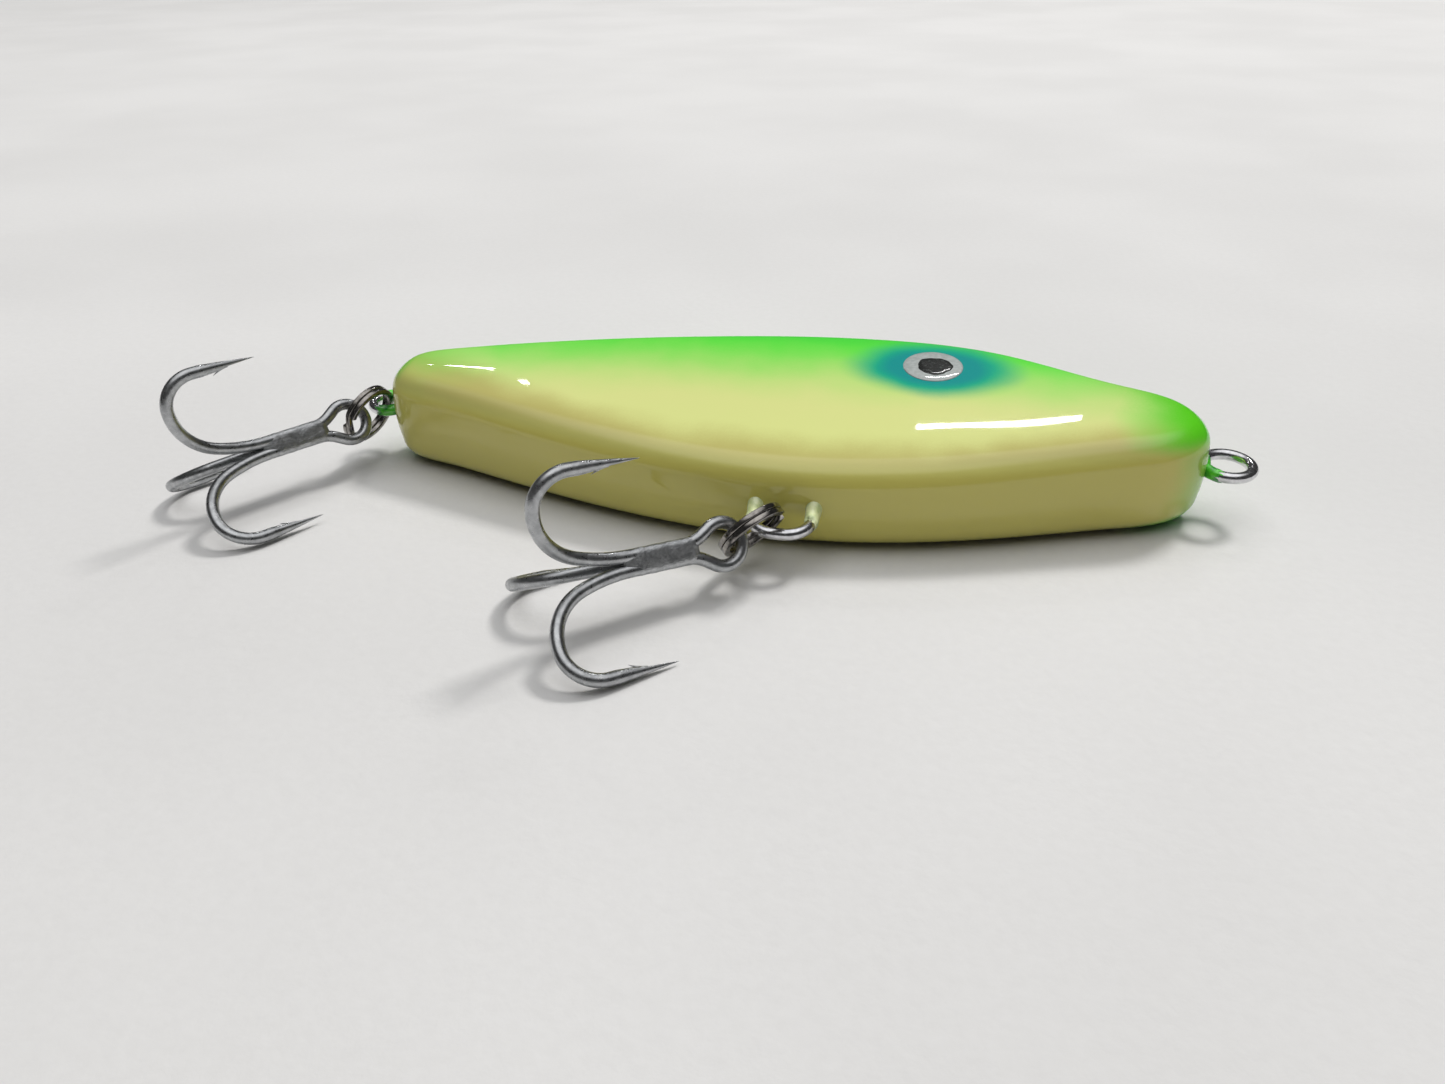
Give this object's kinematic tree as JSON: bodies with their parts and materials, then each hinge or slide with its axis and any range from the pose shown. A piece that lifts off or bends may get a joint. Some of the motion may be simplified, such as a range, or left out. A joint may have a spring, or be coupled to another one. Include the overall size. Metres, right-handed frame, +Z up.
{
  "type": "crankbait lure",
  "caption": "Lipless wooden crankbait: painted body on a through-wire with a line tie, and treble hooks that swing on split rings at belly and tail.",
  "frame": {"origin": "centre of the nose wire eye (the line tie)", "axes": "+X towards the nose, along the line from the tail eye to the nose eye; +Y towards the back (dorsal edge); +Z up from the surface that the lure lies on, out of its right side"},
  "size_m": [0.1966, 0.0924, 0.0289],
  "materials": {
    "paint": "hand-sprayed cream and lime paint under thick clear gloss",
    "collar_green": "paint and clear coat built up round the wire",
    "collar_cream": "paint and clear coat built up round the wire",
    "core_wood": "sealed hardwood",
    "stainless_wire": "bright drawn wire",
    "lead": "cast lead, stood in for by cast iron",
    "filler": "epoxy filler",
    "eye_white": "clear-coated",
    "pupil_black": "clear-coated, fine glitter",
    "black_nickel": "black nickel plate",
    "tinned_hook": "satin tin plate",
    "braze": "tin plate over braze"
  },
  "bodies": {
    "lure": {"topcoat": "paint", "nose_collar": "collar_green", "tail_collar": "collar_green", "hanger_collars": "collar_cream", "wood_half_left": "core_wood", "wood_half_right": "core_wood", "wire_harness": "stainless_wire", "front_ballast": "lead", "rear_ballast": "lead", "front_filler_plug": "filler", "rear_filler_plug": "filler", "eye_disc_left": "eye_white", "eye_disc_right": "eye_white", "pupil_left": "pupil_black", "pupil_right": "pupil_black"},
    "belly_ring": {"belly_split_ring": "black_nickel"},
    "belly_treble": {"belly_treble_double_hook": "tinned_hook", "belly_treble_single_hook": "tinned_hook", "belly_treble_braze": "braze"},
    "tail_ring": {"tail_split_ring": "black_nickel"},
    "tail_treble": {"tail_treble_double_hook": "tinned_hook", "tail_treble_single_hook": "tinned_hook", "tail_treble_braze": "braze"}
  },
  "joints": [
    {"name": "belly_ring_swing", "type": "hinge", "parent": "lure", "child": "belly_ring", "pos_m": [-0.07879, -0.03062, -0.00214], "axis": [-0.309, 0.9487, 0.0663], "range_deg": [-100, 20]},
    {"name": "belly_treble_swing", "type": "hinge", "parent": "belly_ring", "child": "belly_treble", "pos_m": [-0.0805, -0.0396, 0.00007], "axis": [-0.6012, 0.0874, -0.7943], "range_deg": [-20, 50]},
    {"name": "tail_ring_swing", "type": "hinge", "parent": "lure", "child": "tail_ring", "pos_m": [-0.16197, -0.00181, -0.00013], "axis": [0.5345, -0.8431, -0.059], "range_deg": [-3, 60]},
    {"name": "tail_treble_swing", "type": "hinge", "parent": "tail_ring", "child": "tail_treble", "pos_m": [-0.16057, -0.01062, 0.00318], "axis": [-0.4678, -0.5065, -0.7243], "range_deg": [-4, 65]}
  ]
}
